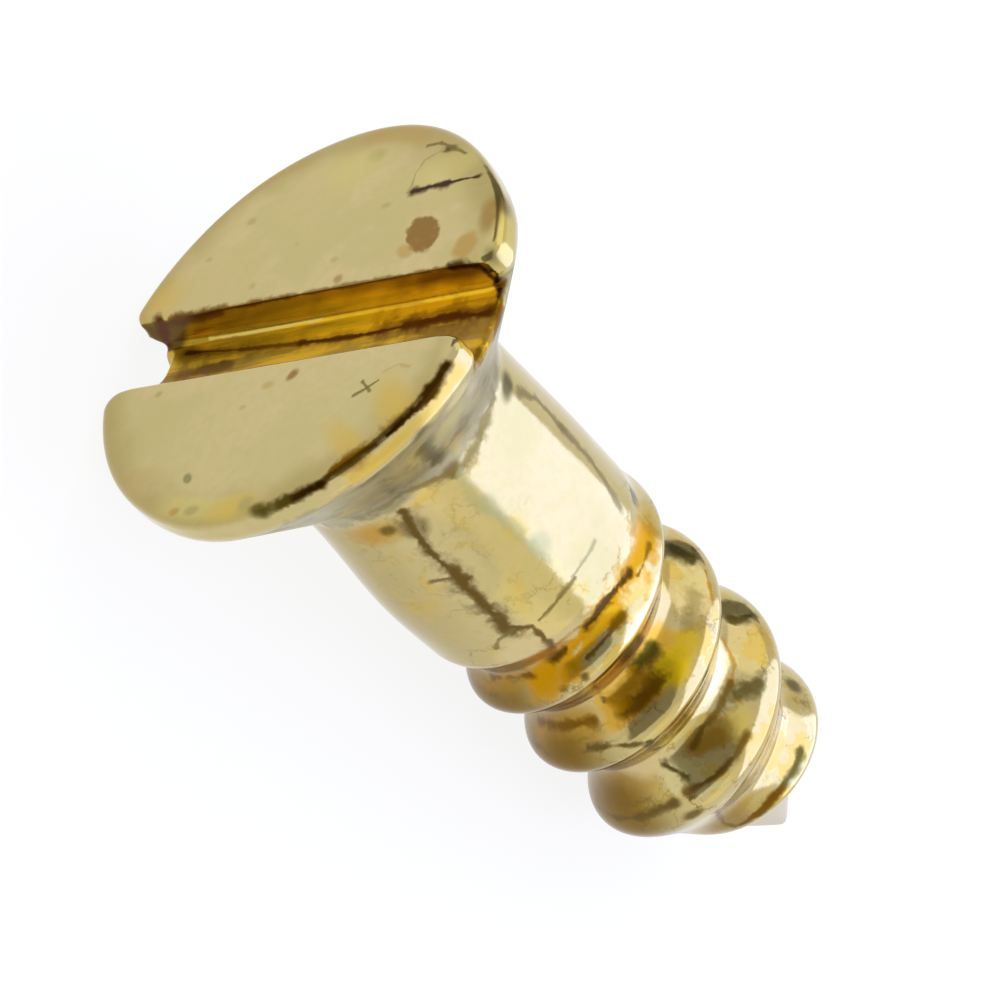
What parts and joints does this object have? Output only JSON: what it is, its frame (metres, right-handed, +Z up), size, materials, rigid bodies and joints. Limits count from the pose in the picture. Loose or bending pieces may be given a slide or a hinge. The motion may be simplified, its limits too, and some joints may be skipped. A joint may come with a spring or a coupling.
{
  "type": "flat head wood screw",
  "caption": "Small brass flat head wood screw with a straight driver slot, a short smooth shank, a coarse right-handed wood thread and a blunt point.",
  "frame": {"origin": "centre of the bounding box at the surface the screw lies on", "axes": "+Z up; +X level, from the head towards the point; the screw lies on its side with its slot turned 2 degrees from the XZ plane, and its own axis dips from the head to the point by 7.7 degrees below +X"},
  "size_m": [0.01, 0.0052, 0.005],
  "materials": {
    "brass": "polished and lacquered brass, lightly stained and scratched"
  },
  "bodies": {
    "root": {"screw": "brass"}
  },
  "joints": []
}
